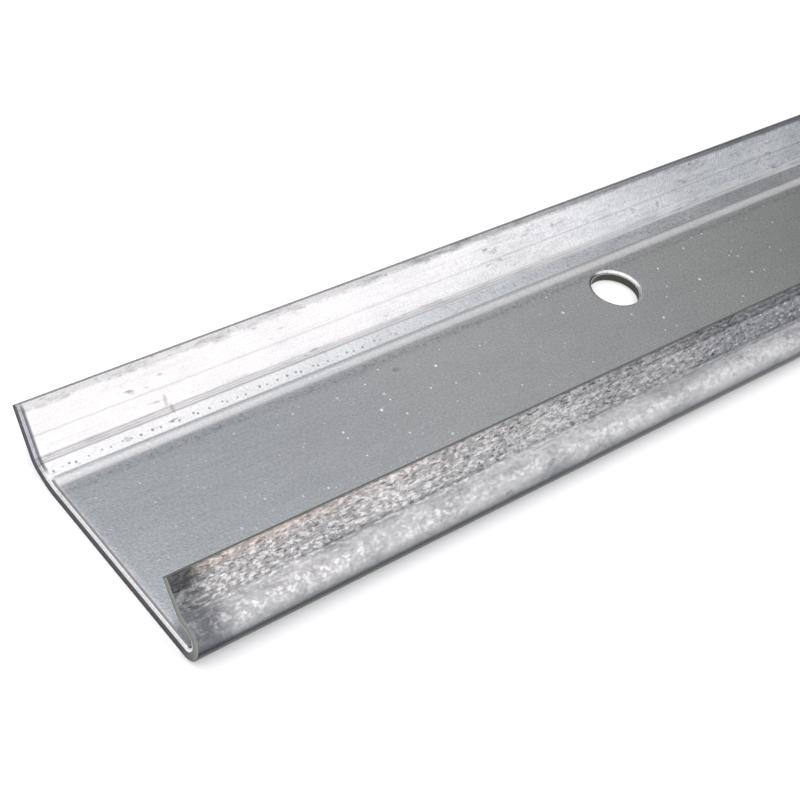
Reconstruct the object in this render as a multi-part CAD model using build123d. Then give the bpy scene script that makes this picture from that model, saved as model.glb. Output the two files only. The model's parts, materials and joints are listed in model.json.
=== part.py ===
from build123d import *
import os
from math import cos, floor, radians, sin

# Roll-formed edging rail: one strip of galvanised steel, bent lengthwise along its whole length.
# From the back edge it runs: upstand, ramp, flat web with the fixing holes, rolled nose, short
# return, and a flared lip that stands over the web. Millimetres and degrees.
# +X runs along the rail, +Y towards the upstand, +Z up; the origin is the middle of the base.

# strip
SHEET = 2.5             # thickness of the strip
RAIL_LENGTH = 544.0     # between the two sheared ends

# back flange, bent up in two steps
UPSTAND_FLAT = 9.8
UPSTAND_TURN = 32.0     # turn between ramp and upstand
UPSTAND_RADIUS = 3.2    # bend radii are measured on the inside of each bend
RAMP_FLAT = 2.5
RAMP_TURN = 15.0        # turn between web and ramp
RAMP_RADIUS = 8.6

# web
WEB_FLAT = 41.0

# front edge, rolled over the web
TOE_TURN = 57.0         # tight first bend under the nose
TOE_RADIUS = 0.9
NOSE_TURN = 119.0       # fuller bend round the top of the nose
NOSE_RADIUS = 1.5
RETURN_FLAT = 1.1
LIP_TURN = 38.0         # turns back the other way, so the lip flares open
LIP_RADIUS = 1.7
LIP_FLAT = 6.4

# fixing holes, punched from above
HOLE_DIAMETER = 11.0
HOLE_PITCH = 272.0
HOLE_TO_CUT_END = 136.0
HOLE_TO_RAMP = 7.8      # hole centre from the end of the flat web
HOLE_ROLLOVER = 0.7     # rounding that the punch leaves on the upper rim
PUNCH_OVERRUN = 2.5     # how far the punch passes each face of the strip

# the shear comes down from above and leaves the upper edge of each cut end rounded
END_ROLLOVER = 0.35

SAME_PLACE = 1e-4       # points nearer than this are one point


def bend(turn, radius):
    return ("bend", turn, radius)


def flat(length):
    return ("flat", length, None)


WEB_RUN = 4             # place of the web in the list of runs


def strip_runs():
    """The flats and bends that make the section, from the back edge to the edge of the lip."""
    return [
        flat(UPSTAND_FLAT),
        bend(-UPSTAND_TURN, UPSTAND_RADIUS),
        flat(RAMP_FLAT),
        bend(-RAMP_TURN, RAMP_RADIUS),
        flat(WEB_FLAT),
        bend(-TOE_TURN, TOE_RADIUS),
        bend(-NOSE_TURN, NOSE_RADIUS),
        flat(RETURN_FLAT),
        bend(LIP_TURN, LIP_RADIUS),
        flat(LIP_FLAT),
    ]


def strip_section(runs, start_heading, thickness):
    """Section face of a bent strip, the start point of each run on its middle line, and its two sides."""
    point = Vector(0, 0)
    heading = start_heading
    sides = {1: [], -1: []}
    stations = []
    for kind, amount, radius in runs:
        stations.append(point)
        along = Vector(cos(radians(heading)), sin(radians(heading)))
        left = Vector(-along.Y, along.X)
        if kind == "flat":
            for side, edges in sides.items():
                edge_start = point + left * (side * thickness / 2)
                edges.append(Line(edge_start, edge_start + along * amount))
            point = point + along * amount
        else:
            turn_side = 1 if amount > 0 else -1
            middle_radius = radius + thickness / 2
            for side, edges in sides.items():
                edge_radius = middle_radius - turn_side * side * thickness / 2
                edge_start = point + left * (side * thickness / 2)
                edges.append(JernArc(edge_start, along, edge_radius, amount))
            centre = point + left * (turn_side * middle_radius)
            point = centre + (point - centre).rotate(Axis.Z, amount)
            heading += amount
    caps = [Line(sides[1][end] @ at, sides[-1][end] @ at) for end, at in ((0, 0), (-1, 1))]
    outline = Wire([part.edge() for part in sides[1] + sides[-1] + caps])
    return Face(outline), stations, sides


def rolled_strip():
    """The strip with plain ends, the middles of its section's upper edges, and the end of its flat web."""
    section, stations, sides = strip_section(strip_runs(), 180 + RAMP_TURN + UPSTAND_TURN, SHEET)
    web_start = stations[WEB_RUN]
    box = section.bounding_box()
    placed = Pos(-(box.min.X + box.max.X) / 2, SHEET / 2 - web_start.Y)
    # the section's own X becomes +Y and its own Y becomes +Z
    across = Plane(origin=(-RAIL_LENGTH / 2, 0, 0), x_dir=(0, 1, 0), z_dir=(1, 0, 0))
    strip = extrude(across * (placed * section), RAIL_LENGTH, dir=(1, 0, 0))
    upper_middles = [(placed * run.edge()) @ 0.5 for run in sides[-1]]
    return strip, upper_middles, web_start.X + placed.position.X


def round_sheared_ends(strip, upper_middles):
    """Rounds the upper edge of both cut ends."""

    def is_sheared(edge):
        middle = edge @ 0.5
        at_end = abs(abs(middle.X) - RAIL_LENGTH / 2) < SAME_PLACE
        return at_end and any(
            abs(middle.Y - upper.X) + abs(middle.Z - upper.Y) < SAME_PLACE for upper in upper_middles
        )

    return fillet([edge for edge in strip.edges() if is_sheared(edge)], END_ROLLOVER)


def hole_positions():
    """Distances of the hole centres from the left cut end: as many whole pitches as the rail has room for."""
    room = RAIL_LENGTH - 2 * HOLE_TO_CUT_END
    pitches = floor(room / HOLE_PITCH + SAME_PLACE)
    return [HOLE_TO_CUT_END + HOLE_PITCH * index for index in range(pitches + 1)]


def punch_holes(strip, hole_y):
    """Punches the fixing holes and rounds their upper rims."""
    punch = Cylinder(HOLE_DIAMETER / 2, SHEET + 2 * PUNCH_OVERRUN)
    for distance in hole_positions():
        strip = strip - Pos(distance - RAIL_LENGTH / 2, hole_y, SHEET / 2) * punch
    rims = [edge for edge in strip.edges().filter_by(GeomType.CIRCLE) if edge.is_closed]
    return fillet([rim for rim in rims if rim.center().Z > SHEET / 2], HOLE_ROLLOVER)


def edging_rail():
    """The finished rail and the line of its holes."""
    strip, upper_middles, web_end = rolled_strip()
    strip = round_sheared_ends(strip, upper_middles)
    hole_y = web_end - HOLE_TO_RAMP
    return punch_holes(strip, hole_y), hole_y


if __name__ == "__main__":
    os.makedirs("parts", exist_ok=True)
    rail, hole_y = edging_rail()
    export_step(rail, "parts/edging_rail.step")
    size = rail.bounding_box()
    print("size", size.size, "low", size.min, "high", size.max)
    print("hole line y", round(hole_y, 3), "holes", hole_positions(), "volume", round(rail.volume))
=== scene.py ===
import json
from math import ceil, cos, pi, radians, sqrt

import bpy
from mathutils import Euler, Matrix, Vector


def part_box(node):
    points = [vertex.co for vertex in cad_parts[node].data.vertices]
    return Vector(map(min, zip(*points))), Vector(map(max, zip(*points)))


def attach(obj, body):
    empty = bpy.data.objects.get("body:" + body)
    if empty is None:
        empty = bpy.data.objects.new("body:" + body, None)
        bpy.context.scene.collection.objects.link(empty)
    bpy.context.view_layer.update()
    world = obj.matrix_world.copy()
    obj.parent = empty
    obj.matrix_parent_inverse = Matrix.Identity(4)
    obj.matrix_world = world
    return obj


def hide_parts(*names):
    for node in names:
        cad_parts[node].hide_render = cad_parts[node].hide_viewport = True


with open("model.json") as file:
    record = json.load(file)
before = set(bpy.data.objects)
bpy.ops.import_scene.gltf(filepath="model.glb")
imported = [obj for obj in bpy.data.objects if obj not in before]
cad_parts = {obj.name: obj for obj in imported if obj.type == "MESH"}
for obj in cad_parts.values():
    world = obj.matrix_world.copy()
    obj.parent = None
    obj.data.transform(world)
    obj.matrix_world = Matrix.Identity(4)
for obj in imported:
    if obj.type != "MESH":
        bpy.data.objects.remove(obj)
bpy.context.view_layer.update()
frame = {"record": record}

# ---------------------------------------------------------------------------------------------
# The blank: a flat strip of 2.5 mm steel, slit from hot-dip galvanised coil, sheared to length
# and punched for its fixing screws. The punch and the shear come down on the upper face, and
# leave its rims rolled over and the lower rims sharp.
# ---------------------------------------------------------------------------------------------

SHEET = 0.0025
END_ROLLOVER = 0.00035
HOLE_ROLLOVER = 0.0007
SLIT_ROUNDING = 0.00025
BURR_ROUNDING = 0.0001
BACK_ROLLOVER, BACK_ROLLOVER_WIDTH = 0.0003, 0.0015   # the slitting knife drew the upper face down
END_DRAW, END_DRAW_WIDTH = 0.00045, 0.0011            # and so did the shear, before the rim itself
CELL = 0.0015                 # edge of a mesh cell where the strip stays flat
LIP_CELL = CELL * 0.6         # the hem's rows are closer
ROUNDING_STEPS = 4            # mesh rows round a rolled-over rim
RIM_MARGIN = 1.2              # a rim's last row, in its radii, holds the flat beside it
LIP_STEPS, NOSE_STEPS, TOE_STEPS, RAMP_STEPS, UPSTAND_STEPS = 7, 18, 9, 2, 8   # mesh rows in each bend
DRAWN_STEPS = 4               # mesh rows where a knife or the shear drew the upper face down
HOLE_CELLS = 5                # half side, in cells, of the square patch round a hole
PATCH_RINGS = 2               # mesh rings between a rim and its square patch
FIRST_CORNER = radians(225)   # direction of the patch's first corner from its hole's centre

# inside radius and turn of each bend, from the web outwards; a minus turn rolls back down
RAMP_RADIUS, RAMP_TURN, RAMP_FLAT = 0.0086, radians(15), 0.0025
UPSTAND_RADIUS, UPSTAND_TURN, UPSTAND_FLAT = 0.0032, radians(32), 0.0098
TOE_RADIUS, TOE_TURN = 0.0009, radians(57)
NOSE_RADIUS, NOSE_TURN, RETURN_FLAT = 0.0015, radians(119), 0.0011
LIP_RADIUS, LIP_TURN, LIP_FLAT = 0.0017, radians(-38), 0.0064
WEB_FLAT = 0.041
HOLE_TO_RAMP = 0.0078

low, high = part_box("edging_rail")
fixing = next(mount for mount in frame["record"]["mounts"] if mount["name"] == "fixing_holes")
hole_radius = fixing["dims"]["hole_r_mm"] / 1000
hole_y = fixing["pos_m"][1]
half_span = fixing["dims"]["spacing_x_mm"] / 2000 * (fixing["dims"]["count"] - 1)
hole_centres = [fixing["pos_m"][0] - half_span, fixing["pos_m"][0] + half_span]


def middle_arc(radius, turn):
    """Length of a bend on the strip's middle line."""
    return (radius + SHEET / 2) * abs(turn)


# where each bend starts, as a place across the flat blank
ramp_line = hole_y + HOLE_TO_RAMP
upstand_line = ramp_line + middle_arc(RAMP_RADIUS, RAMP_TURN) + RAMP_FLAT
upstand_foot = upstand_line + middle_arc(UPSTAND_RADIUS, UPSTAND_TURN)
back_edge = upstand_foot + UPSTAND_FLAT
toe_line = ramp_line - WEB_FLAT
nose_line = toe_line - middle_arc(TOE_RADIUS, TOE_TURN)
nose_end = nose_line - middle_arc(NOSE_RADIUS, NOSE_TURN)
lip_line = nose_end - RETURN_FLAT
lip_foot = lip_line - middle_arc(LIP_RADIUS, LIP_TURN)
lip_edge = lip_foot - LIP_FLAT


def places(stops):
    """Rows of the mesh: every stop but the first is (place, number of even steps up to it)."""
    found = [stops[0]]
    for place, steps in stops[1:]:
        start = found[-1]
        found += [start + (place - start) * step / steps for step in range(1, steps + 1)]
    return found


def steps_over(start, end, size):
    return max(1, ceil(abs(end - start) / size))


def rim_rows(radius):
    """Distances of the rows of a rounding from its rim, and of the row that holds the flat beside it."""
    angles = [pi / 2 * step / ROUNDING_STEPS for step in range(ROUNDING_STEPS + 1)]
    return [radius * (1 - cos(angle)) for angle in angles] + [radius * RIM_MARGIN]


def drop(distance, radius):
    """How far a rounded rim has fallen away at a distance from its edge."""
    inside = max(0.0, radius - distance)
    return radius - sqrt(radius * radius - inside * inside)


# the rolls raised a low bead along the foot of the ramp, and narrow rows keep its top and end crisp
BEAD_HEIGHT = 0.00015
BEAD_FOOT, BEAD_TOP, BEAD_END = ramp_line - 0.0002, ramp_line + 0.0013, ramp_line + 0.0022
BEAD_CRISP = 0.0001


def bead(y):
    """Height of the bead at a place across the blank: a slow rise and a short fall."""
    rise = (y - BEAD_FOOT) / (BEAD_TOP - BEAD_FOOT)
    fall = (BEAD_END - y) / (BEAD_END - BEAD_TOP)
    return BEAD_HEIGHT * max(0.0, min(rise, fall))


def blank_mesh():
    """The flat strip as one closed mesh, its cut faces marked."""
    patch = HOLE_CELLS * CELL
    rows = places([
        lip_edge + SLIT_ROUNDING * RIM_MARGIN,
        (lip_foot, steps_over(lip_edge, lip_foot, LIP_CELL)),
        (lip_line, LIP_STEPS),
        (nose_end, 1),
        (nose_line, NOSE_STEPS),
        (toe_line, TOE_STEPS),
        (hole_y - patch, steps_over(toe_line, hole_y - patch, CELL)),
        (hole_y + patch, 2 * HOLE_CELLS),
        (BEAD_FOOT, 1),
        (ramp_line, 1),
        (BEAD_TOP - BEAD_CRISP, 5),
        (BEAD_TOP + BEAD_CRISP, 1),
        (BEAD_END - BEAD_CRISP, 1),
        (BEAD_END + BEAD_CRISP, 1),
        (upstand_line - RAMP_FLAT, RAMP_STEPS),
        (upstand_line, RAMP_STEPS),
        (upstand_foot, UPSTAND_STEPS),
        (back_edge - BACK_ROLLOVER_WIDTH, steps_over(upstand_foot, back_edge, CELL)),
        (back_edge - SLIT_ROUNDING * RIM_MARGIN, DRAWN_STEPS),
    ])
    slit = rim_rows(SLIT_ROUNDING)[:-1]
    rows = [lip_edge + row for row in slit] + rows + [back_edge - row for row in reversed(slit)]

    stops = [low.x + END_ROLLOVER * RIM_MARGIN, (low.x + END_DRAW_WIDTH, DRAWN_STEPS)]
    for centre in hole_centres:
        start = stops[-1][0]
        stops += [(centre - patch, steps_over(start, centre - patch, CELL))]
        stops += [(centre + patch, 2 * HOLE_CELLS)]
    stops += [(high.x - END_DRAW_WIDTH, steps_over(stops[-1][0], high.x, CELL))]
    stops += [(high.x - END_ROLLOVER * RIM_MARGIN, DRAWN_STEPS)]
    end_rim = rim_rows(END_ROLLOVER)[:-1]
    columns = [low.x + row for row in end_rim] + places(stops) + [high.x - row for row in reversed(end_rim)]

    vertices, faces, cut_faces = [], [], []

    def vertex(x, y, z):
        vertices.append((x, y, z))
        return len(vertices) - 1

    def inside_patch(x, y):
        return any(max(abs(x - centre), abs(y - hole_y)) < patch - CELL / 2 for centre in hole_centres)

    upper, lower = {}, {}
    for i, x in enumerate(columns):
        to_end = min(x - low.x, high.x - x)
        for j, y in enumerate(rows):
            if inside_patch(x, y):
                continue
            to_slit = min(y - lip_edge, back_edge - y)
            knife = max(0.0, 1 - (back_edge - y) / BACK_ROLLOVER_WIDTH)
            fall = max(drop(to_end, END_ROLLOVER), drop(to_slit, SLIT_ROUNDING))
            fall += BACK_ROLLOVER * knife * knife
            shear = max(0.0, 1 - to_end / END_DRAW_WIDTH)
            fall += END_DRAW * shear * shear
            rise = drop(min(to_end, to_slit), BURR_ROUNDING)
            upper[i, j] = vertex(x, y, SHEET - fall + bead(y))
            lower[i, j] = vertex(x, y, rise)

    for i in range(len(columns) - 1):
        for j in range(len(rows) - 1):
            cell = [(i, j), (i + 1, j), (i + 1, j + 1), (i, j + 1)]
            middle = (columns[i] + columns[i + 1]) / 2, (rows[j] + rows[j + 1]) / 2
            if not any(max(abs(middle[0] - c), abs(middle[1] - hole_y)) < patch for c in hole_centres):
                faces.append([upper[corner] for corner in cell])
                faces.append([lower[corner] for corner in reversed(cell)])

    last_column, last_row = len(columns) - 1, len(rows) - 1
    outline = [(i, 0) for i in range(last_column)]
    outline += [(last_column, j) for j in range(last_row)]
    outline += [(i, last_row) for i in range(last_column, 0, -1)]
    outline += [(0, j) for j in range(last_row, 0, -1)]
    for here, after in zip(outline, outline[1:] + outline[:1]):
        cut_faces.append([lower[here], lower[after], upper[after], upper[here]])

    row_of = min(range(len(rows)), key=lambda j: abs(rows[j] - (hole_y - patch)))
    for centre in hole_centres:
        column_of = min(range(len(columns)), key=lambda i: abs(columns[i] - (centre - patch)))
        side = 2 * HOLE_CELLS
        square = [(column_of + k, row_of) for k in range(side)]
        square += [(column_of + side, row_of + k) for k in range(side)]
        square += [(column_of + side - k, row_of + side) for k in range(side)]
        square += [(column_of, row_of + side - k) for k in range(side)]
        loops = {}
        for name, outer, distances, base, rounding, way in (
            ("upper", upper, rim_rows(HOLE_ROLLOVER), SHEET, HOLE_ROLLOVER, -1),
            ("lower", lower, [0.0, BURR_ROUNDING], 0.0, BURR_ROUNDING, 1),
        ):
            rings = []
            for distance in distances:
                height = base + way * drop(distance, rounding)
                ring = []
                for k in range(len(square)):
                    turn = Euler((0, 0, 2 * pi * k / len(square) + FIRST_CORNER))
                    spoke = Vector((hole_radius + distance, 0, 0))
                    spoke.rotate(turn)
                    ring.append(vertex(centre + spoke.x, hole_y + spoke.y, height))
                rings.append(ring)
            for step in range(1, PATCH_RINGS + 1):
                share = step / (PATCH_RINGS + 1)
                ring = []
                for k, corner in enumerate(square):
                    rim_point = Vector(vertices[rings[len(distances) - 1][k]])
                    ring.append(vertex(*rim_point.lerp(Vector(vertices[outer[corner]]), share)))
                rings.append(ring)
            rings.append([outer[corner] for corner in square])
            loops[name] = rings[0]
            for inner_ring, outer_ring in zip(rings, rings[1:]):
                for k in range(len(square)):
                    after = (k + 1) % len(square)
                    face = [inner_ring[k], outer_ring[k], outer_ring[after], inner_ring[after]]
                    faces.append(face if name == "upper" else face[::-1])
        for k in range(len(square)):
            after = (k + 1) % len(square)
            cut_faces.append([
                loops["upper"][k], loops["upper"][after], loops["lower"][after], loops["lower"][k]
            ])

    mesh = bpy.data.meshes.new("blank")
    mesh.from_pydata(vertices, [], faces + cut_faces)
    sheared_faces = mesh.attributes.new("sheared", "BOOLEAN", "FACE")
    sheared_faces.data.foreach_set("value", [False] * len(faces) + [True] * len(cut_faces))
    return mesh


# ---------------------------------------------------------------------------------------------
# The zinc coat: the coil was hot-dip galvanised before it was rolled, so the coat is dull grey on
# the web, burnished almost white where the rolls pressed the flanges, and smeared, pitted and
# dirty on the hem, which the rolls worked hardest. Some marks are painted light: painted reflection
# and shade in the bend of the back flange, at the cut ends and under the nose, and painted highlights on the
# nose.
# ---------------------------------------------------------------------------------------------


def add(tree, kind, inputs=None, **settings):
    """Adds a node: settings are its properties; inputs hold a value, a node or a socket for each name."""
    node = tree.nodes.new(kind)
    for name, value in settings.items():
        setattr(node, name, value)
    for name, value in (inputs or {}).items():
        if isinstance(value, bpy.types.Node):
            value = value.outputs[0]
        if isinstance(value, bpy.types.NodeSocket):
            tree.links.new(value, node.inputs[name])
        else:
            node.inputs[name].default_value = value
    return node


def colour(hexadecimal):
    """sRGB hex to linear RGBA."""
    channels = [int(hexadecimal[k:k + 2], 16) / 255 for k in (1, 3, 5)]
    linear = [c / 12.92 if c <= 0.04045 else ((c + 0.055) / 1.055) ** 2.4 for c in channels]
    return (*linear, 1.0)


def new_material(name):
    material = bpy.data.materials.new(name)
    material.use_nodes = True
    material.node_tree.nodes.clear()
    return material, material.node_tree


zinc, tree = new_material("hot_dip_galvanised_steel")

# patterns are laid out on the flat blank, in millimetres, so they follow the strip round its bends
MM = 1000
flat_place = add(tree, "ShaderNodeAttribute", attribute_name="flat", attribute_type="GEOMETRY")
flat_mm = add(tree, "ShaderNodeVectorMath", {0: flat_place.outputs["Vector"], "Scale": MM}, operation="SCALE")
axes = add(tree, "ShaderNodeSeparateXYZ", {"Vector": flat_mm})
along, across, depth = axes.outputs
HALF_DEPTH = SHEET * MM / 2
# UP is 1 on the face that the holes are punched from, and OUT on the one that ends up outside the hem
UP = add(tree, "ShaderNodeMapRange", {
    "Value": depth, "From Min": HALF_DEPTH - 0.2, "From Max": HALF_DEPTH + 0.2,
})
OUT = add(tree, "ShaderNodeMath", {0: 1.0, 1: UP}, operation="SUBTRACT")

# noises: how far each is drawn out along the rail, its size in mm, its detail and roughness, and the
# noise values that count as none and as full
NOISES = {
    "hairlines": (33, 0.5, 3, 0.5, 0.55, 0.85),
    "long lines": (125, 0.8, 3, 0.7, 0.50, 0.70),
    "grain": (1, 0.55, 3, 0.7, 0.45, 0.80),
    "fine grain": (1.3, 0.42, 2, 0.6, 0.35, 0.70),
    "clouds": (1.5, 9.0, 5, 0.6, 0.30, 0.70),
    "smears": (4.5, 1.6, 6, 0.7, 0.50, 0.72),
    "streaks": (6, 0.5, 5, 0.8, 0.53, 0.60),
    "smut": (2.2, 5.0, 9, 0.72, 0.47, 0.68),
    "patches": (2.6, 7.0, 6, 0.65, 0.40, 0.62),
    "crust": (1.9, 0.9, 8, 0.86, 0.48, 0.59),
    "pits": (1.6, 0.65, 3, 0.65, 0.56, 0.62),
    "flecks": (2.0, 0.7, 3, 0.6, 0.57, 0.70),
    "glints": (2.6, 0.7, 5, 0.78, 0.55, 0.62),
    "shadows": (2.8, 6.5, 7, 0.7, 0.50, 0.60),
    "scratches": (7, 0.5, 3, 0.6, 0.60, 0.70),
    "scars": (2.9, 1.1, 2, 0.5, 0.64, 0.74),
    "scar groups": (1, 14.0, 2, 0.5, 0.45, 0.62),
}
patterns = {}
for number, (name, (drawn, size, detail, roughness, none, full)) in enumerate(NOISES.items()):
    space = add(tree, "ShaderNodeVectorMath", {
        0: flat_mm, 1: (1 / drawn, 1.0, 1.0), 2: (0.0, 37.0 * number, 0.0),
    }, operation="MULTIPLY_ADD")
    noise = add(tree, "ShaderNodeTexNoise", {
        "Vector": space, "Scale": 1 / size, "Detail": detail, "Roughness": roughness,
    })
    patterns[name] = add(tree, "ShaderNodeMapRange", {"Value": noise, "From Min": none, "From Max": full})

# how far in from a cut end each pattern is full and none, in mm: the dull marks grow from 40 mm in,
# and the sheared marks lie within 9 mm of a cut end
from_middle = add(tree, "ShaderNodeMath", {0: along}, operation="ABSOLUTE")
to_end = add(tree, "ShaderNodeMath", {0: high.x * MM, 1: from_middle}, operation="SUBTRACT")
for name, full, none in (
    ("dull", 190, 40), ("fresh", 40, 190), ("early", 15, 75), ("sheared", 2.5, 9), ("drawn", 0.6, 1.1),
    ("past rim", 0.42, 0.28), ("pinned", 65, 95), ("speckled", 60, 15),
):
    patterns[name] = add(tree, "ShaderNodeMapRange", {
        "Value": to_end, "From Min": none, "From Max": full,
    }, interpolation_type="SMOOTHSTEP")

# a row of pin holes in the ramp's zinc, about 2.2 mm apart and 0.3 to 0.4 mm across
PIN_LINE, PIN_SPACING, PIN_SCATTER = upstand_line * MM - 1.7, 2.2, 0.5
pin_cells = add(tree, "ShaderNodeTexVoronoi", {
    "W": along, "Scale": 1 / PIN_SPACING, "Randomness": 0.75,
}, voronoi_dimensions="1D")
pin_x = add(tree, "ShaderNodeMath", {0: pin_cells.outputs["Distance"], 1: PIN_SPACING}, operation="MULTIPLY")
pin_chance = add(tree, "ShaderNodeSeparateColor", {"Color": pin_cells.outputs["Color"]})
pin_line = add(tree, "ShaderNodeMath", {
    0: pin_chance.outputs[0], 1: PIN_SCATTER, 2: PIN_LINE - PIN_SCATTER / 2,
}, operation="MULTIPLY_ADD")
pin_y = add(tree, "ShaderNodeMath", {0: across, 1: pin_line}, operation="SUBTRACT")
pin_apart = add(tree, "ShaderNodeCombineXYZ", {"X": pin_x, "Y": pin_y})
pin_apart = add(tree, "ShaderNodeVectorMath", {0: pin_apart}, operation="LENGTH").outputs["Value"]
pin_size = add(tree, "ShaderNodeMath", {0: pin_chance.outputs[1], 1: 0.12, 2: 0.10}, operation="MULTIPLY_ADD")
pin_rim = add(tree, "ShaderNodeMath", {0: pin_size, 1: 0.14}, operation="ADD")
patterns["pins"] = add(tree, "ShaderNodeMapRange", {
    "Value": pin_apart, "From Min": pin_rim, "From Max": pin_size,
})

# dabs of flux: distance from the cut end, place across the blank, and half length and half width in mm
DABS = (
    (17.2, 18.6, 0.7, 0.6), (28.4, 21.3, 0.5, 1.3), (27.6, 23.6, 0.5, 1.1), (62.0, 22.0, 1.3, 0.5),
    (74.5, 9.7, 0.9, 0.6), (131.0, 28.6, 0.5, 0.6), (164.0, 24.5, 0.5, 0.9),
)
for number, (x, y, half_length, half_width) in enumerate(DABS):
    from_dab = add(tree, "ShaderNodeVectorMath", {
        0: flat_mm, 1: (low.x * MM + x, y, SHEET * MM),
    }, operation="SUBTRACT")
    from_dab = add(tree, "ShaderNodeVectorMath", {
        0: from_dab, 1: (1 / half_length, 1 / half_width, 1.0),
    }, operation="MULTIPLY")
    from_dab = add(tree, "ShaderNodeVectorMath", {0: from_dab}, operation="LENGTH").outputs["Value"]
    from_dab = add(tree, "ShaderNodeMath", {
        0: patterns["grain"], 1: 0.7, 2: from_dab,
    }, operation="MULTIPLY_ADD")
    dab = add(tree, "ShaderNodeMapRange", {"Value": from_dab, "From Min": 1.25, "From Max": 0.75})
    patterns["dabs"] = dab if number == 0 else add(tree, "ShaderNodeMath", {
        0: patterns["dabs"], 1: dab,
    }, operation="MAXIMUM")

# rolls leave no straight borders, so bands of marks wander a little across the strip
ragged = add(tree, "ShaderNodeTexNoise", {
    "Vector": flat_mm, "Scale": 1 / 2.2, "Detail": 4.0, "Roughness": 0.65,
})
ragged = add(tree, "ShaderNodeMath", {0: ragged, 1: 0.5}, operation="SUBTRACT")


def band(face, start, end, soft, wander):
    """1 on one face between two places across the blank, in mm, fading over soft, its borders wandering."""
    place = add(tree, "ShaderNodeMath", {0: ragged, 1: wander, 2: across}, operation="MULTIPLY_ADD")
    rise = add(tree, "ShaderNodeMapRange", {
        "Value": place, "From Min": start - soft / 2, "From Max": start + soft / 2,
    }, interpolation_type="SMOOTHSTEP")
    fall = add(tree, "ShaderNodeMapRange", {
        "Value": place, "From Min": end + soft / 2, "From Max": end - soft / 2, "To Max": face,
    }, interpolation_type="SMOOTHSTEP")
    return add(tree, "ShaderNodeMath", {0: rise, 1: fall}, operation="MULTIPLY")


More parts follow.
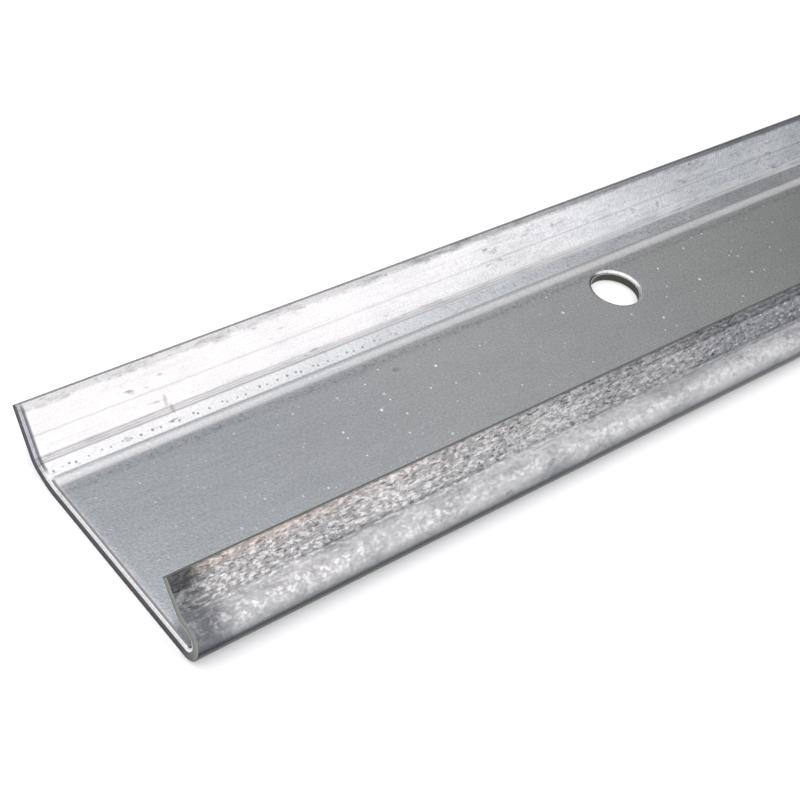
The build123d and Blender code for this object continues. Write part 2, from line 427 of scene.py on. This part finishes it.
LIP_EDGE, TOE = lip_edge * MM, toe_line * MM
OFF_LIP, OFF_BACK = -50, 40   # places past the strip's edges, so that a band reaches the edge
# dark shades for soot and oxide, also used for painted shade and reflection where the marks below say so
SOOT_AND_SHADE, OXIDE_AND_SHADE, TAN, PALE = "#34383b", "#2a3a4b", "#d8bda8", "#f4f4f2"
MARKS = (
    # face, from and to across the blank, soft edge and wander in mm, patterns that it takes, strength, shade
    # grain, lines and specks of dirt along the upper face
    (UP, TOE, OFF_BACK, 1, 0, ("hairlines",), 0.10, SOOT_AND_SHADE),
    (UP, TOE, OFF_BACK, 1, 0, ("fine grain",), 0.10, SOOT_AND_SHADE),
    (UP, TOE, OFF_BACK, 1, 0, ("grain",), 0.07, SOOT_AND_SHADE),
    (UP, TOE, 17, 1, 0, ("fine grain",), 0.09, SOOT_AND_SHADE),
    (UP, TOE, 17, 1, 0, ("grain",), 0.08, SOOT_AND_SHADE),
    (UP, TOE, 13, 1, 0, ("long lines",), 0.03, SOOT_AND_SHADE),
    (UP, TOE, 13, 1, 0, ("clouds",), 0.07, SOOT_AND_SHADE),
    (UP, TOE, 13, 1, 0, ("patches",), 0.05, OXIDE_AND_SHADE),
    (UP, 17, 31, 1, 1, ("patches",), 0.07, SOOT_AND_SHADE),
    (UP, 17, 31, 1, 1, ("patches", "dull"), 0.14, OXIDE_AND_SHADE),
    (UP, 17.2, 20, 0.5, 0.5, ("flecks",), 0.12, SOOT_AND_SHADE),
    (UP, 19.9, 32, 1, 0, ("long lines",), 0.08, SOOT_AND_SHADE),
    (UP, 17.4, 19.6, 0.3, 0, ("pins", "pinned"), 0.62, SOOT_AND_SHADE),
    (UP, 8, 32, 0.5, 0, ("dabs",), 0.32, SOOT_AND_SHADE),
    (UP, 17.2, 32, 0.5, 0.5, ("scars", "scar groups"), 0.50, SOOT_AND_SHADE),
    (UP, 23, 31, 1.0, 1.0, ("smears", "dull"), 0.16, OXIDE_AND_SHADE),
    # beside the ramp, where the shoulder of the roll rubbed
    (UP, 12.3, 13.9, 1.2, 1.6, ("grain",), 0.50, OXIDE_AND_SHADE),
    (UP, 12.0, 14.2, 1.6, 1.6, ("smears", "fresh"), 0.22, OXIDE_AND_SHADE),
    (UP, 12.4, 13.8, 1.6, 1.0, (), 0.06, OXIDE_AND_SHADE),
    # the back flange: painted shade along the fall of the bead near the cut ends, dark lines painted in the
    # upstand bend as painted reflection of its curve, a darker line higher up, and darker smears and flecks
    (UP, 16.8, 17.2, 0.5, 0.25, ("early",), 0.12, SOOT_AND_SHADE),
    (UP, 17.3, 20.0, 0.8, 0.6, ("dull",), 0.13, OXIDE_AND_SHADE),
    (UP, 17.3, 22.4, 0.8, 0.6, ("smears", "dull"), 0.18, OXIDE_AND_SHADE),
    (UP, 20.2, 20.75, 0.4, 0.3, ("fresh",), 0.36, SOOT_AND_SHADE),
    (UP, 20.15, 20.85, 0.5, 0.3, (), 0.10, SOOT_AND_SHADE),
    (UP, 21.0, 21.4, 0.3, 0.3, (), 0.32, SOOT_AND_SHADE),
    (UP, 21.6, 22.1, 0.4, 0.3, (), 0.16, SOOT_AND_SHADE),
    (UP, 21.6, 22.2, 0.5, 0.4, ("early",), 0.26, SOOT_AND_SHADE),
    (UP, 20.9, 22.6, 0.8, 1.2, ("smears",), 0.36, SOOT_AND_SHADE),
    (UP, 25.85, 26.2, 0.4, 0.3, (), 0.19, SOOT_AND_SHADE),
    (UP, 23, 30, 1.5, 1.0, ("smears", "scar groups"), 0.14, OXIDE_AND_SHADE),
    (UP, 17.4, 31, 0.6, 0.5, ("flecks", "dull"), 0.22, OXIDE_AND_SHADE),
    # a darker, mottled band along the top of the upstand, darkest away from the cut ends
    (UP, 30.8, 33, 0.6, 1.4, (), 0.24, SOOT_AND_SHADE),
    (UP, 30.2, 33, 1.2, 2.5, ("smears",), 0.46, SOOT_AND_SHADE),
    (UP, 30.6, 33, 1.0, 1.6, ("flecks",), 0.30, SOOT_AND_SHADE),
    (UP, 31.2, 33, 0.5, 0.4, ("dull",), 0.62, SOOT_AND_SHADE),
    # painted reflection at the cut ends: just in from the rolled-over rim, where the shear drew the face
    # down, a dark blue strip on the back flange and a dark grey one on the web, with painted shade over the
    # flange's rim
    (UP, 18.5, 32, 2.5, 0, ("drawn",), 0.30, SOOT_AND_SHADE),
    (UP, 18.5, 32, 2.5, 0, ("drawn", "past rim"), 0.74, "#26344d"),
    (UP, -28, 16.6, 0.6, 0, ("drawn", "past rim"), 0.74, "#2f363e"),
    # the hem: scraped, pitted and dirty on the lip, smoother round the nose
    (OUT, OFF_LIP, -36.6, 1.0, 1.2, ("patches",), 0.16, OXIDE_AND_SHADE),
    (OUT, OFF_LIP, -36.6, 1.0, 1.2, ("smut",), 0.18, SOOT_AND_SHADE),
    (OUT, OFF_LIP, -35.3, 1.0, 0.8, ("dull",), 0.56, OXIDE_AND_SHADE),
    (OUT, OFF_LIP, -36.4, 1.0, 1.2, ("glints",), 0.80, PALE),
    (OUT, OFF_LIP, -36.4, 1.2, 1.6, ("crust",), 0.46, SOOT_AND_SHADE),
    (OUT, OFF_LIP, -36.6, 1.0, 1.2, ("streaks",), 0.55, SOOT_AND_SHADE),
    (OUT, OFF_LIP, -36.8, 1.0, 1.0, ("pits", "patches"), 0.90, SOOT_AND_SHADE),
    (OUT, -37.3, -36.6, 0.5, 0.5, ("patches",), 0.50, SOOT_AND_SHADE),
    (OUT, -42.9, -42.3, 0.4, 0.4, ("streaks",), 0.60, SOOT_AND_SHADE),
    (OUT, -41.8, -41.2, 0.4, 0.5, ("streaks",), 0.60, SOOT_AND_SHADE),
    (OUT, -42.9, -42.3, 0.4, 0.4, ("dull",), 0.40, SOOT_AND_SHADE),
    (OUT, -41.8, -41.2, 0.4, 0.5, ("dull",), 0.40, SOOT_AND_SHADE),
    (OUT, OFF_LIP, -40.8, 0.8, 0.8, ("streaks", "dull"), 0.60, SOOT_AND_SHADE),
    (OUT, OFF_LIP, -41.2, 0.6, 0.5, ("dull",), 0.34, SOOT_AND_SHADE),
    (OUT, OFF_LIP, -37.5, 0.8, 0.8, ("dull",), 0.12, OXIDE_AND_SHADE),
    (OUT, OFF_LIP, -41.0, 0.8, 0.6, ("scratches",), 0.85, SOOT_AND_SHADE),
    (OUT, OFF_LIP, -37.0, 0.8, 0.6, ("scratches", "patches"), 0.75, SOOT_AND_SHADE),
    (OUT, OFF_LIP, LIP_EDGE + 0.25, 0.2, 0.2, (), 0.40, SOOT_AND_SHADE),
    (OUT, OFF_LIP, -36.0, 1.0, 1.0, ("smears", "early"), 0.10, TAN),
    (OUT, -43.4, -41.6, 0.7, 0.5, ("early",), 0.26, TAN),
    (OUT, -43.4, -38.5, 0.7, 0.8, ("glints", "fresh"), 0.50, TAN),
    (OUT, -43.4, -41.6, 0.5, 0.3, ("glints", "early"), 0.60, "#f2e2d4"),
    (OUT, -37.5, -28.5, 1.5, 1.0, ("shadows",), 0.34, OXIDE_AND_SHADE),
    (OUT, -36.5, -28.5, 1.5, 1.0, ("smears",), 0.08, SOOT_AND_SHADE),
    (OUT, -36.5, -28.5, 1.5, 1.0, ("smut",), 0.10, OXIDE_AND_SHADE),
    # painted highlight: white glints on the nose's bright curve
    (OUT, -36.0, -31.5, 1.0, 1.0, ("glints", "patches"), 0.60, "#ffffff"),
    (OUT, -36.5, -28.5, 1.0, 0.5, ("grain",), 0.10, SOOT_AND_SHADE),
    (OUT, -36.5, -28.5, 1.0, 0.5, ("crust", "patches"), 0.22, SOOT_AND_SHADE),
    (OUT, -36.5, -33.6, 1.0, 0.5, ("dull",), 0.10, OXIDE_AND_SHADE),
    (OUT, -36.0, -30.0, 1.0, 0.5, ("scars", "scar groups"), 0.60, SOOT_AND_SHADE),
    (OUT, -36.0, -29.0, 1.0, 0.5, ("flecks", "patches"), 0.40, SOOT_AND_SHADE),
    (OUT, OFF_LIP, -28.5, 1.0, 0, ("sheared",), 0.62, "#22303a"),
    (OUT, OFF_LIP, -39.5, 1.6, 0.8, ("sheared", "smears"), 0.65, SOOT_AND_SHADE),
    (OUT, OFF_LIP, -40.5, 1.6, 0.8, ("sheared",), 0.50, "#1c2124"),
    # the underside of the nose: painted reflection and contact shadow, a band darkening almost to black
    # towards the floor
    (OUT, -31.9, -25, 1.2, 0.4, (), 0.20, SOOT_AND_SHADE),
    (OUT, -31.2, -25, 1.0, 0.3, (), 0.42, OXIDE_AND_SHADE),
    (OUT, -30.4, -25, 1.0, 0.2, (), 0.90, "#191e22"),
)
# clean zinc, clouded, with every mark mixed over it in turn; 6 and 7 are a Mix node's two colours
surface_colour = add(tree, "ShaderNodeMix", {
    "Factor": patterns["clouds"], 6: colour("#dddddd"), 7: colour("#e4e3e3"),
}, data_type="RGBA").outputs[2]
for face, start, end, soft, wander, names, strength, shade in MARKS:
    where = band(face, start, end, soft, wander)
    amount = add(tree, "ShaderNodeMath", {0: where, 1: strength}, operation="MULTIPLY")
    for name in names:
        amount = add(tree, "ShaderNodeMath", {0: amount, 1: patterns[name]}, operation="MULTIPLY")
    surface_colour = add(tree, "ShaderNodeMix", {
        "Factor": amount, 6: surface_colour, 7: colour(shade),
    }, data_type="RGBA").outputs[2]

# grains of zinc oxide sit proud of the web's coat, 0.4 to 0.9 mm across, fewer near a cut end:
# cell size and radius in mm, and share of the cells that hold one
SPECKS = ((4.6, 0.44, 0.60), (2.9, 0.34, 0.45), (1.7, 0.24, 0.40))
specks = add(tree, "ShaderNodeMath", {0: 0.0, 1: 0.0}, operation="ADD")
for size, radius, share in SPECKS:
    cells = add(tree, "ShaderNodeTexVoronoi", {"Vector": flat_mm, "Scale": 1 / size, "Randomness": 1.0})
    dots = add(tree, "ShaderNodeMapRange", {
        "Value": cells.outputs["Distance"], "From Min": radius / size, "From Max": 0.5 * radius / size,
    })
    chance = add(tree, "ShaderNodeSeparateColor", {"Color": cells.outputs["Color"]})
    chosen = add(tree, "ShaderNodeMapRange", {
        "Value": chance.outputs[0], "From Min": 1 - share, "From Max": 1.0,
    })
    dots = add(tree, "ShaderNodeMath", {0: dots, 1: chosen}, operation="MULTIPLY")
    specks = add(tree, "ShaderNodeMath", {0: specks, 1: dots}, operation="MAXIMUM")
on_web = band(UP, TOE, 13, 1.0, 0)
specks = add(tree, "ShaderNodeMath", {0: specks, 1: on_web}, operation="MULTIPLY")
AT_END = 0.35                 # of the specks' strength is left at a cut end
near_end = add(tree, "ShaderNodeMath", {
    0: patterns["speckled"], 1: 1 - AT_END, 2: AT_END,
}, operation="MULTIPLY_ADD")
specks = add(tree, "ShaderNodeMath", {0: specks, 1: near_end}, operation="MULTIPLY")
pale = add(tree, "ShaderNodeMath", {0: specks, 1: 0.8}, operation="MULTIPLY")
surface_colour = add(tree, "ShaderNodeMix", {
    "Factor": pale, 6: surface_colour, 7: colour(PALE),
}, data_type="RGBA").outputs[2]

# a weathered coat is less metallic and duller on the hem and in the roll lines than on the flats
worked = band(OUT, OFF_LIP, -31.0, 2.5, 0.8)
creased = band(UP, 14.5, 16.6, 0.8, 0.3)
creased = add(tree, "ShaderNodeMath", {0: creased, 1: band(UP, 20.2, 22.2, 0.6, 0.3)}, operation="ADD")
metal = add(tree, "ShaderNodeMath", {0: worked, 1: -0.25, 2: 1.0}, operation="MULTIPLY_ADD")
metal = add(tree, "ShaderNodeMath", {0: creased, 1: -0.15, 2: metal}, operation="MULTIPLY_ADD")
metal = add(tree, "ShaderNodeMath", {
    0: specks, 1: -0.8, 2: metal,
}, operation="MULTIPLY_ADD", use_clamp=True)
ROLLED_ROUGHNESS = 0.25
gloss = add(tree, "ShaderNodeMath", {0: worked, 1: 0.13, 2: ROLLED_ROUGHNESS}, operation="MULTIPLY_ADD")
gloss = add(tree, "ShaderNodeMath", {0: creased, 1: 0.16, 2: gloss}, operation="MULTIPLY_ADD")
gloss = add(tree, "ShaderNodeMath", {0: specks, 1: 0.3, 2: gloss}, operation="MULTIPLY_ADD")

# relief: grain everywhere, a crust on the hem, and specks that stand proud
relief = add(tree, "ShaderNodeMath", {0: patterns["grain"], 1: 0.16}, operation="MULTIPLY")
relief = add(tree, "ShaderNodeMath", {
    0: patterns["fine grain"], 1: -0.05, 2: relief,
}, operation="MULTIPLY_ADD")
crust = add(tree, "ShaderNodeMath", {0: patterns["crust"], 1: worked}, operation="MULTIPLY")
relief = add(tree, "ShaderNodeMath", {0: crust, 1: 1.5, 2: relief}, operation="MULTIPLY_ADD")
relief = add(tree, "ShaderNodeMath", {0: specks, 1: 0.4, 2: relief}, operation="MULTIPLY_ADD")
GRIT = 0.00015                # height of the coarsest relief, in metres
bump = add(tree, "ShaderNodeBump", {"Height": relief, "Strength": 0.6, "Distance": GRIT})
surface = add(tree, "ShaderNodeBsdfPrincipled", {
    "Base Color": surface_colour, "Metallic": metal, "Roughness": gloss, "Normal": bump,
})
add(tree, "ShaderNodeOutputMaterial", {"Surface": surface})

# ---------------------------------------------------------------------------------------------
# Bare steel where the strip was cut: sheared at its ends, punched in its holes and slit along its
# edges. On the web's end a cut is smooth and bright where the blade sank in, and torn, dull and
# darker below that, with painted shadow along its bottom edge; the hem's end is painted lighter on
# its outer half and darker on its inner half, as painted light and shade, and a hole's wall is
# painted dark as painted reflection.
# ---------------------------------------------------------------------------------------------

bare, tree = new_material("sheared_steel_edge")
flat_place = add(tree, "ShaderNodeAttribute", attribute_name="flat", attribute_type="GEOMETRY")
flat_mm = add(tree, "ShaderNodeVectorMath", {0: flat_place.outputs["Vector"], "Scale": MM}, operation="SCALE")
axes = add(tree, "ShaderNodeSeparateXYZ", {"Vector": flat_mm})
along, across, depth = axes.outputs
TEAR = 0.6                    # size of the torn grain, in mm
torn = add(tree, "ShaderNodeTexNoise", {
    "Vector": flat_mm, "Scale": 1 / TEAR, "Detail": 3.0, "Roughness": 0.6,
})
cut_depth = add(tree, "ShaderNodeMath", {0: torn, 1: 0.8, 2: depth}, operation="MULTIPLY_ADD")
cut_depth = add(tree, "ShaderNodeMapRange", {"Value": cut_depth, "From Min": 0.4, "From Max": 2.9})
# the web's cut end: darkest at its bottom edge, partly torn steel and partly painted shadow
web_end = add(tree, "ShaderNodeValToRGB", {"Fac": cut_depth})
stops = web_end.color_ramp.elements
stops[0].color, stops[1].color = colour("#232327"), colour("#3d3e55")
for place, shade in ((0.25, "#2e2d32"), (0.45, "#4f4d52"), (0.7, "#474655")):
    stops.new(place).color = colour(shade)
# painted light and shade on the hem's cut end: lighter on its outer half, darker on its inner half
hem_end = add(tree, "ShaderNodeMix", {
    "Factor": cut_depth, 6: colour("#8b8f88"), 7: colour("#565954"),
}, data_type="RGBA")
at_hem = add(tree, "ShaderNodeMapRange", {"Value": across, "From Min": TOE + 1, "From Max": TOE - 4})
end_colour = add(tree, "ShaderNodeMix", {
    "Factor": at_hem, 6: web_end, 7: hem_end.outputs[2],
}, data_type="RGBA")
# a cut face that is away from the ends and near the line of holes is the wall of a hole
from_middle = add(tree, "ShaderNodeMath", {0: along}, operation="ABSOLUTE")
in_hole = add(tree, "ShaderNodeMath", {0: from_middle, 1: high.x * MM - 1}, operation="LESS_THAN")
from_line = add(tree, "ShaderNodeMath", {0: across, 1: hole_y * MM}, operation="SUBTRACT")
from_line = add(tree, "ShaderNodeMath", {0: from_line}, operation="ABSOLUTE")
on_line = add(tree, "ShaderNodeMath", {0: from_line, 1: hole_radius * MM + 1}, operation="LESS_THAN")
in_hole = add(tree, "ShaderNodeMath", {0: in_hole, 1: on_line}, operation="MULTIPLY")
# painted reflection: the wall of a hole is dark olive, for the dark it mirrors inside the hole
cut_colour = add(tree, "ShaderNodeMix", {
    "Factor": in_hole, 6: end_colour.outputs[2], 7: colour("#4c4b44"),
}, data_type="RGBA")
surface = add(tree, "ShaderNodeBsdfPrincipled", {
    "Base Color": cut_colour.outputs[2], "Metallic": 0.9, "Roughness": 0.5,
    "Normal": add(tree, "ShaderNodeBump", {"Height": torn, "Strength": 0.5, "Distance": GRIT}),
})
add(tree, "ShaderNodeOutputMaterial", {"Surface": surface})

# ---------------------------------------------------------------------------------------------
# Roll forming: the blank runs through stands of rolls, each of which bends all that lies past
# one line. The lip is flared first, then the nose and toe roll it over the web, and the back
# flange comes up in two steps.
# ---------------------------------------------------------------------------------------------

rolling = bpy.data.node_groups.new("roll_forming", "GeometryNodeTree")
rolling.interface.new_socket("Geometry", in_out="INPUT", socket_type="NodeSocketGeometry")
rolling.interface.new_socket("Geometry", in_out="OUTPUT", socket_type="NodeSocketGeometry")
entry = rolling.nodes.new("NodeGroupInput")
settings = {}


def size_input(name, value):
    socket = rolling.interface.new_socket(name, in_out="INPUT", socket_type="NodeSocketFloat")
    settings[socket.identifier] = value
    return entry.outputs[name]


thickness = size_input("Sheet thickness", SHEET)
flat = add(rolling, "GeometryNodeInputPosition")
strip = add(rolling, "GeometryNodeStoreNamedAttribute", {
    "Geometry": entry.outputs["Geometry"], "Name": "flat", "Value": flat,
}, data_type="FLOAT_VECTOR", domain="POINT")
flat_place = add(rolling, "GeometryNodeInputNamedAttribute", {"Name": "flat"}, data_type="FLOAT_VECTOR")
flat_y = add(rolling, "ShaderNodeSeparateXYZ", {"Vector": flat_place}).outputs["Y"]
half_sheet = add(rolling, "ShaderNodeMath", {0: thickness, 1: 0.5}, operation="MULTIPLY")

BACK, FRONT = 1, -1
bends = [
    ("Lip", FRONT, lip_line, LIP_RADIUS, LIP_TURN),
    ("Nose", FRONT, nose_line, NOSE_RADIUS, NOSE_TURN),
    ("Toe", FRONT, toe_line, TOE_RADIUS, TOE_TURN),
    ("Upstand", BACK, upstand_line, UPSTAND_RADIUS, UPSTAND_TURN),
    ("Ramp", BACK, ramp_line, RAMP_RADIUS, RAMP_TURN),
]
for name, side, line, radius, turn in bends:
    up = 1 if turn > 0 else -1
    line_y = size_input(f"{name} line", line)
    inside_radius = size_input(f"{name} radius", radius)
    bend_turn = size_input(f"{name} turn", abs(turn))
    middle_radius = add(rolling, "ShaderNodeMath", {0: inside_radius, 1: half_sheet}, operation="ADD")
    past_line = add(rolling, "ShaderNodeMath", {0: flat_y, 1: line_y}, operation="SUBTRACT")
    past_line = add(rolling, "ShaderNodeMath", {0: past_line, 1: float(side)}, operation="MULTIPLY")
    arc = add(rolling, "ShaderNodeMath", {0: middle_radius, 1: bend_turn}, operation="MULTIPLY")
    rolled = add(rolling, "ShaderNodeClamp", {"Value": past_line, "Min": 0.0, "Max": arc})
    angle = add(rolling, "ShaderNodeMath", {0: rolled, 1: middle_radius}, operation="DIVIDE")
    angle = add(rolling, "ShaderNodeMath", {0: angle, 1: float(side * up)}, operation="MULTIPLY")
    slide = add(rolling, "ShaderNodeMath", {0: rolled, 1: float(-side)}, operation="MULTIPLY")
    slide = add(rolling, "ShaderNodeCombineXYZ", {"Y": slide})
    place = add(rolling, "GeometryNodeInputPosition")
    slid = add(rolling, "ShaderNodeVectorMath", {0: place, 1: slide}, operation="ADD")
    axis_z = add(rolling, "ShaderNodeMath", {0: middle_radius, 1: float(up), 2: half_sheet},
                 operation="MULTIPLY_ADD")
    axis = add(rolling, "ShaderNodeCombineXYZ", {"Y": line_y, "Z": axis_z})
    turned = add(rolling, "ShaderNodeVectorRotate", {"Vector": slid, "Center": axis, "Angle": angle},
                 rotation_type="X_AXIS")
    strip = add(rolling, "GeometryNodeSetPosition", {"Geometry": strip, "Position": turned})

whole = add(rolling, "GeometryNodeRealizeInstances", {"Geometry": strip})
coated = add(rolling, "GeometryNodeSetMaterial", {"Geometry": whole, "Material": zinc})
sheared_only = add(rolling, "GeometryNodeInputNamedAttribute", {"Name": "sheared"}, data_type="BOOLEAN")
coated = add(rolling, "GeometryNodeSetMaterial", {
    "Geometry": coated, "Selection": sheared_only, "Material": bare,
})
add(rolling, "NodeGroupOutput", {"Geometry": coated})

blank = bpy.data.objects.new("blank", blank_mesh())
bpy.context.scene.collection.objects.link(blank)
roll_former = blank.modifiers.new("roll_forming", "NODES")
roll_former.node_group = rolling
for identifier, value in settings.items():
    roll_former[identifier] = value
formed = blank.evaluated_get(bpy.context.evaluated_depsgraph_get())
rail = bpy.data.objects.new("rolled_edging_rail", bpy.data.meshes.new_from_object(formed))
bpy.context.scene.collection.objects.link(rail)
bpy.data.objects.remove(blank)
rail.data.shade_smooth()
rail.data.set_sharp_from_angle(angle=radians(40))

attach(rail, "root")
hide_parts("edging_rail")

# ---------------------------------------------------------------------------------------------
# The studio: a plain pale floor, a camera, and soft light from the world alone. A bright window fills
# half the sky, behind and above the camera, and the rest is a dim room.
# ---------------------------------------------------------------------------------------------

FLOOR_SIDE, FLOOR_GAP = 6.0, 0.0003
FLOOR_GLOW = 0.16             # light from below keeps the paper white round the rail

floor_mesh = bpy.data.meshes.new("floor")
reach, floor_z = FLOOR_SIDE / 2, low.z - FLOOR_GAP
floor_corners = [(-reach, -reach), (reach, -reach), (reach, reach), (-reach, reach)]
floor_mesh.from_pydata([(x, y, floor_z) for x, y in floor_corners], [], [(0, 1, 2, 3)])
floor = bpy.data.objects.new("floor", floor_mesh)
bpy.context.scene.collection.objects.link(floor)
# matt white paper, with hardly any sheen, so it shows no reflection of the rail
paper, tree = new_material("white_paper")
surface = add(tree, "ShaderNodeBsdfPrincipled", {
    "Base Color": colour("#f2f4f4"), "Roughness": 0.9, "Specular IOR Level": 0.2,
    "Emission Color": colour("#ffffff"), "Emission Strength": FLOOR_GLOW,
})
add(tree, "ShaderNodeOutputMaterial", {"Surface": surface})
floor_mesh.materials.append(paper)

world = bpy.data.worlds.new("studio")
world.use_nodes = True
tree = world.node_tree
tree.nodes.clear()
WINDOW_SIDE = Vector((-0.564, -0.488, 0.666))
WINDOW_LIGHT = (1.56, 1.52, 1.545)
# the window's edge is soft and a little blue: its red starts and ends further in than its blue
EDGE_START, EDGE_END = (0.085, 0.073, 0.062), (0.200, 0.188, 0.178)
direction = add(tree, "ShaderNodeTexCoord").outputs["Generated"]
towards = add(tree, "ShaderNodeVectorMath", {0: direction, 1: WINDOW_SIDE}, operation="DOT_PRODUCT")
window = add(tree, "ShaderNodeMapRange", {
    "Vector": add(tree, "ShaderNodeCombineXYZ", {name: towards.outputs["Value"] for name in "XYZ"}),
    7: EDGE_START, 8: EDGE_END,
}, data_type="FLOAT_VECTOR", interpolation_type="SMOOTHSTEP")
# the window is dimmer near the horizon
room_side = add(tree, "ShaderNodeSeparateXYZ", {"Vector": direction})
above = add(tree, "ShaderNodeMapRange", {
    "Value": room_side.outputs["Z"], "From Min": 0.0, "From Max": 0.36, "To Min": 0.25, "To Max": 1.0,
}, interpolation_type="SMOOTHSTEP")
window = add(tree, "ShaderNodeVectorMath", {0: window.outputs["Vector"], "Scale": above}, operation="SCALE")
# the room's light from each side, by how far the direction points along +X: its dark end is past 0.78
ROOM = (
    (0.48, (0.455, 0.475, 0.50, 1)), (0.56, (0.51, 0.525, 0.535, 1)), (0.64, (0.49, 0.50, 0.50, 1)),
    (0.72, (0.41, 0.414, 0.405, 1)), (0.78, (0.18, 0.184, 0.185, 1)),
)
room = add(tree, "ShaderNodeValToRGB", {"Fac": room_side.outputs["X"]})
room_stops = room.color_ramp.elements
room_stops[0].position, room_stops[0].color = 0.40, (0.375, 0.397, 0.425, 1)
room_stops[1].position, room_stops[1].color = 0.90, (0.07, 0.08, 0.09, 1)
for place, shade in ROOM:
    room_stops.new(place).color = shade
light_colour = add(tree, "ShaderNodeMix", {
    1: window, 4: room.outputs["Color"], 5: WINDOW_LIGHT,
}, data_type="VECTOR", factor_mode="NON_UNIFORM")
light = add(tree, "ShaderNodeBackground", {"Color": light_colour.outputs[1], "Strength": 1.0})
# past the edge of the floor a view sees plain white, not the half-dome that lights the rail
backdrop = add(tree, "ShaderNodeBackground", {"Color": (1, 1, 1, 1), "Strength": 1.0})
seen = add(tree, "ShaderNodeLightPath").outputs["Is Camera Ray"]
light = add(tree, "ShaderNodeMixShader", {0: seen, 1: light, 2: backdrop})
add(tree, "ShaderNodeOutputWorld", {"Surface": light})
bpy.context.scene.world = world

# the camera looks down along the rail from beyond its cut end
LENS, NEAREST = 74.21, 0.01
CAMERA_PLACE = (-0.38387, -0.15458, 0.21665)
CAMERA_RIGHT = Vector((0.7581, -0.6258, 0.1835)).normalized()
CAMERA_FORWARD = Vector((0.5642, 0.4881, -0.6659)).normalized()

lens = bpy.data.cameras.new("camera")
lens.lens = LENS
lens.clip_start = NEAREST
camera = bpy.data.objects.new("camera", lens)
up = CAMERA_RIGHT.cross(CAMERA_FORWARD).normalized()
right = CAMERA_FORWARD.cross(up).normalized()
matrix = Matrix((right, up, -CAMERA_FORWARD)).transposed().to_4x4()
matrix.translation = CAMERA_PLACE
camera.matrix_world = matrix
bpy.context.scene.collection.objects.link(camera)
bpy.context.scene.camera = camera
bpy.context.scene.view_settings.view_transform = "Standard"
